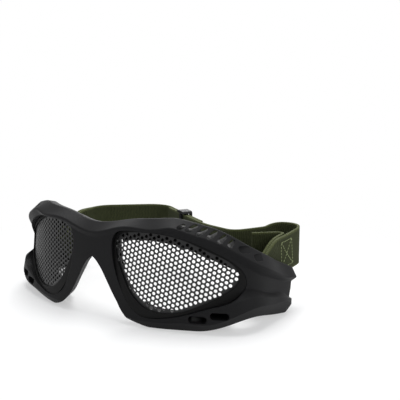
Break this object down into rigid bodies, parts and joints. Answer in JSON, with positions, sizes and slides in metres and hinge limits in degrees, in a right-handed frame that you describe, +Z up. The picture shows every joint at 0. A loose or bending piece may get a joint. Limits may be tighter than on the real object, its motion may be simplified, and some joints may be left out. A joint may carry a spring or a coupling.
{
  "type": "mesh safety goggles",
  "caption": "Wrap-round soft frame with curved perforated steel lenses, foam pads behind them and a webbing strap with a slider.",
  "frame": {"origin": "on the table, on the goggles' centre plane, midway between the front of the frame and the back of the strap", "axes": "+X to the wearer's left, seen at the right in the picture; -Y out of the front of the lenses; +Z up"},
  "size_m": [0.167, 0.1123, 0.0562],
  "materials": {
    "frame_rubber": "satin",
    "mesh_steel": "satin",
    "rim_black": "matte",
    "foam": "matte",
    "webbing": "matte",
    "thread": "matte",
    "slider_black": "satin"
  },
  "bodies": {
    "frame": {"outer_frame": "frame_rubber", "lens_mesh_right": "mesh_steel", "lens_mesh_left": "mesh_steel", "lens_rim_right": "rim_black", "lens_rim_left": "rim_black", "face_foam_right": "foam", "face_foam_left": "foam"},
    "strap": {"strap_right": "webbing", "strap_left": "webbing", "stitch_box_right": "thread", "stitch_box_left": "thread", "stitch_hem": "thread"},
    "slider": {"slider": "slider_black"}
  },
  "joints": [
    {"name": "strap_tilt", "type": "hinge", "parent": "frame", "child": "strap", "pos_m": [0, -0.0046, 0.0192], "axis": [1, 0, 0], "range_deg": [-8, 8]},
    {"name": "slider_slide", "type": "slide", "parent": "strap", "child": "slider", "axis": [-0.8526, 0.5225, 0], "range_m": [-0.01, 0.01]}
  ]
}
